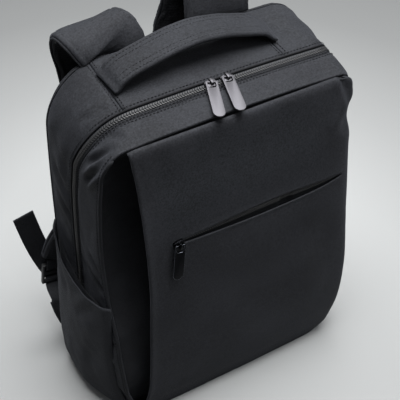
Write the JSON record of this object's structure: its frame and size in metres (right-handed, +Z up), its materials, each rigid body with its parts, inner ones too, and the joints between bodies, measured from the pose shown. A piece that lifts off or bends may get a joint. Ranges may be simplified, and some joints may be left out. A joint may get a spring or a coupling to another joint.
{
  "type": "laptop backpack",
  "caption": "Boxy soft laptop backpack with an arching top zip, padded shoulder straps, a grab handle, a zipped front pocket open at the side and open side pockets.",
  "frame": {"origin": "middle of the base across and near its middle front to back, on the surface that the bag stands on", "axes": "+Z up, -Y out of the front panel, +X to the right as seen from the front"},
  "size_m": [0.3506, 0.2014, 0.4311],
  "materials": {
    "cloth": "charcoal woven polyester",
    "dark_cloth": "near-black woven lining and padding cover",
    "webbing": "black woven webbing",
    "zip": "black coil zip on woven tape",
    "plastic": "moulded satin",
    "gunmetal": "satin plated zinc alloy",
    "dark_metal": "glossy black plated zinc alloy"
  },
  "bodies": {
    "bag": {"base_panel": "dark_cloth", "side_panel_right": "cloth", "top_panel": "cloth", "side_panel_left": "cloth", "main_zip": "zip", "front_gusset": "cloth", "back_panel": "dark_cloth", "front_wall": "dark_cloth", "front_panel": "cloth", "front_zip": "zip", "mouth_binding": "dark_cloth", "side_pocket_right": "cloth", "side_pocket_left": "cloth", "handle": "cloth", "shoulder_strap_left": "dark_cloth", "shoulder_strap_right": "dark_cloth", "ladder_lock_left": "plastic", "ladder_lock_right": "plastic", "lock_loop_left": "webbing", "lock_loop_right": "webbing", "strap_webbing_left": "webbing", "strap_webbing_right": "webbing", "strap_anchor_left": "dark_cloth", "strap_anchor_right": "dark_cloth", "main_left_slider": "gunmetal", "main_right_slider": "gunmetal", "front_slider": "dark_metal"},
    "main_left_pull": {"main_left_pull_tab": "gunmetal"},
    "main_right_pull": {"main_right_pull_tab": "gunmetal"},
    "front_pull": {"front_pull_tab": "dark_metal"}
  },
  "joints": [
    {"name": "main_left_pull_hinge", "type": "hinge", "parent": "bag", "child": "main_left_pull", "pos_m": [-0.0036, -0.02686, 0.37486], "axis": [-0.9397, 0.3337, 0.0748], "range_deg": [0, 120]},
    {"name": "main_right_pull_hinge", "type": "hinge", "parent": "bag", "child": "main_right_pull", "pos_m": [0.01459, -0.02682, 0.37483], "axis": [-0.9703, 0.2346, 0.0594], "range_deg": [0, 120]},
    {"name": "front_pull_hinge", "type": "hinge", "parent": "bag", "child": "front_pull", "pos_m": [-0.075, -0.08477, 0.24341], "axis": [-0.9903, 0.0116, 0.1387], "range_deg": [0, 150]}
  ]
}
